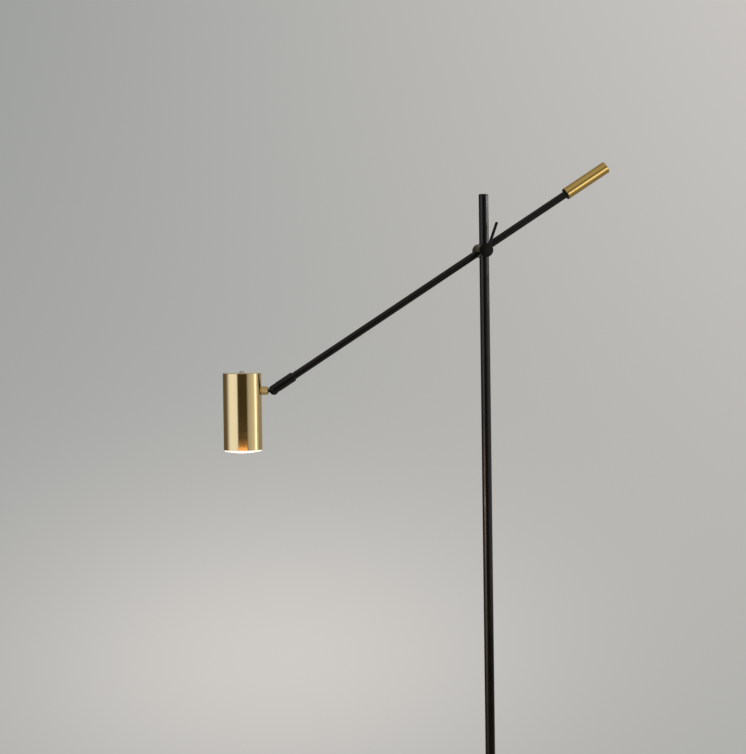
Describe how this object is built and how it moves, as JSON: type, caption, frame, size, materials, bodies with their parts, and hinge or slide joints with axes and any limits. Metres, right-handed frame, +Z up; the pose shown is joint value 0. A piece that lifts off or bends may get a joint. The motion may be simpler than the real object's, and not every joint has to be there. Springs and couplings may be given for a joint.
{
  "type": "floor lamp",
  "caption": "Slim black floor lamp with a weighted round base, a counterweighted rod arm that tilts on a lever-locked hub, and a brass cylinder spotlight that tilts and swivels.",
  "frame": {"origin": "centre of the base's underside, on the pole's axis", "axes": "+Z up along the pole; the arm lies in a plane parallel to XZ behind the pole, with its head end towards -X; the clamp knob faces -Y, the lamp's front"},
  "size_m": [0.5165, 0.2555, 1.5425],
  "materials": {
    "base_black": "satin black powder coat",
    "pole_black": "satin black powder coat",
    "arm_black": "satin black powder coat",
    "hub_black": "satin black powder coat",
    "lever_black": "semi-gloss black oxide",
    "knuckle_black": "satin black powder coat",
    "head_brass": "satin brushed brass, lacquered",
    "weight_brass": "satin brushed brass, lacquered",
    "collar_brass": "polished brass",
    "screw_brass": "polished brass",
    "ring_black": "matt moulded",
    "cast_iron": "as cast, painted grey",
    "pad_rubber": "matt foam rubber",
    "bush_rubber": "matt",
    "ring_rubber": "matt",
    "zinc_steel": "zinc plated",
    "dark_steel": "black oxide",
    "fibre": "pressed fibre",
    "lead_plastic": "matt sheath",
    "driver_plastic": "moulded",
    "board_white": "solder mask over aluminium core",
    "phosphor": "phosphor under silicone",
    "opal": "opal acrylic, lit warm white",
    "sink_aluminium": "as extruded",
    "reflector_aluminium": "bright anodised"
  },
  "bodies": {
    "stand": {"base_cover": "base_black", "base_weight": "cast_iron", "base_pad": "pad_rubber", "base_stud": "zinc_steel", "base_nut": "zinc_steel", "base_washer": "zinc_steel", "foot_flange": "base_black", "foot_insert": "zinc_steel", "cord_grommet": "bush_rubber", "led_driver": "driver_plastic", "pole_lower": "pole_black", "pole_middle": "pole_black", "pole_upper": "pole_black", "pole_joiners": "zinc_steel", "pole_cap": "pole_black", "pole_lead": "lead_plastic", "hub_body": "hub_black", "hub_screw": "dark_steel", "fibre_washer": "fibre", "knob_washer": "zinc_steel"},
    "arm": {"arm_block": "hub_black", "arm_screw": "dark_steel", "stop_pin": "zinc_steel", "arm_tube": "arm_black", "arm_lead": "lead_plastic", "counterweight": "weight_brass", "weight_ring": "ring_black", "weight_screw": "dark_steel", "knuckle_sleeve": "knuckle_black", "pivot_screw": "dark_steel"},
    "knuckle": {"knuckle_tongue": "knuckle_black", "stop_washer": "zinc_steel", "spring_washer": "zinc_steel", "swivel_nut": "zinc_steel"},
    "head": {"swivel_collar": "collar_brass", "saddle_washer": "zinc_steel", "head_shell": "head_brass", "top_screw": "screw_brass", "sink_spacer": "zinc_steel", "heat_sink": "sink_aluminium", "light_board": "board_white", "light_emitter": "phosphor", "board_screws": "zinc_steel", "reflector": "reflector_aluminium", "diffuser": "opal", "diffuser_ring": "ring_rubber", "head_lead": "lead_plastic"},
    "knob": {"clamp_knob": "hub_black", "clamp_lever": "lever_black"}
  },
  "joints": [
    {"name": "arm_tilt", "type": "hinge", "parent": "stand", "child": "arm", "pos_m": [0, 0.0173, 1.427], "axis": [0, 1, 0], "range_deg": [-37.4, 102.6]},
    {"name": "head_tilt", "type": "hinge", "parent": "arm", "child": "knuckle", "pos_m": [-0.27615, 0.0173, 1.24909], "axis": [0, 1, 0], "range_deg": [-122.6, 57.4]},
    {"name": "head_swivel", "type": "hinge", "parent": "knuckle", "child": "head", "pos_m": [-0.27615, 0.0173, 1.24909], "axis": [1, 0, 0], "range_deg": [-170, 170]},
    {"name": "lever_turn", "type": "hinge", "parent": "stand", "child": "knob", "pos_m": [0, -0.0116, 1.427], "axis": [0, -1, 0], "range_deg": [0, 120]}
  ]
}
